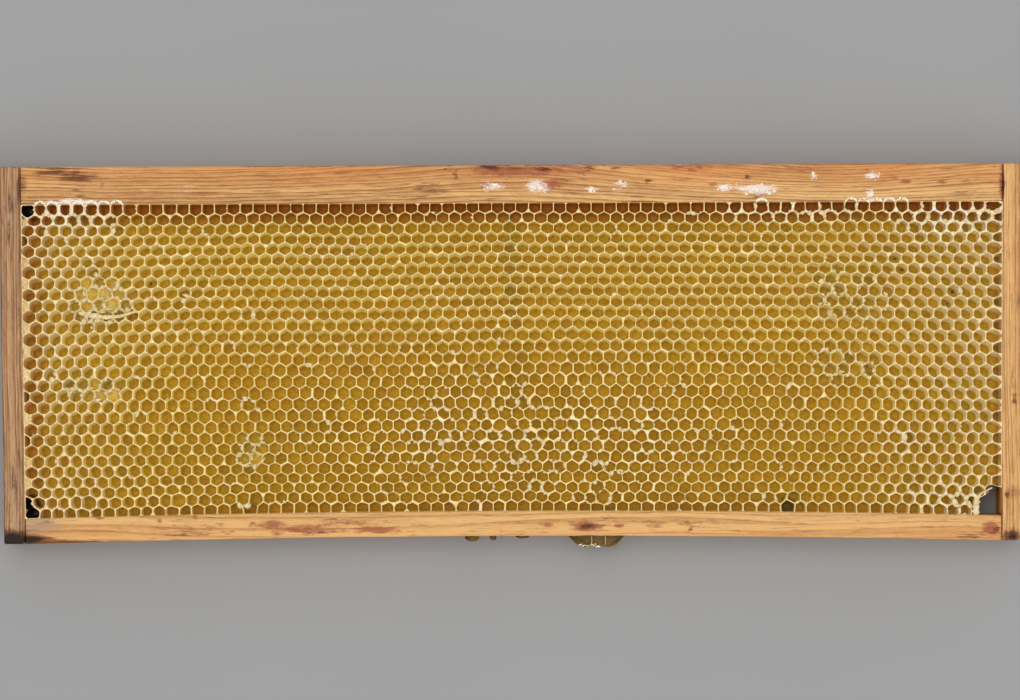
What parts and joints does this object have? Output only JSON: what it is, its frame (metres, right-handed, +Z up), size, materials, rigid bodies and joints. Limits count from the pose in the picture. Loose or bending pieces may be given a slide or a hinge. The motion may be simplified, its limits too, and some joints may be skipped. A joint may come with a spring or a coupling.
{
  "type": "honeycomb frame",
  "caption": "Shallow wooden hive frame with lugs, filled with drawn and emptied honeycomb, with a little burr comb under its bottom bar.",
  "frame": {"origin": "under the middle of the whole frame, on the surface that it lies on", "axes": "+X along the bars to the right as pictured, +Y from the bottom bar to the top bar, +Z up through the depth to the shown face"},
  "size_m": [0.47, 0.1629, 0.025],
  "materials": {
    "pine": "matt bare pine with wax and propolis stains",
    "grey_pine": "weathered bare pine",
    "wax": "satin translucent beeswax",
    "burr_wax": "satin darker beeswax"
  },
  "bodies": {
    "root": {"top_bar": "pine", "bottom_bar": "pine", "side_bar_left": "grey_pine", "side_bar_right": "pine", "comb": "wax", "burr_comb": "burr_wax", "burr_scrap_1": "burr_wax", "burr_scrap_2": "burr_wax", "burr_scrap_3": "burr_wax"}
  },
  "joints": []
}
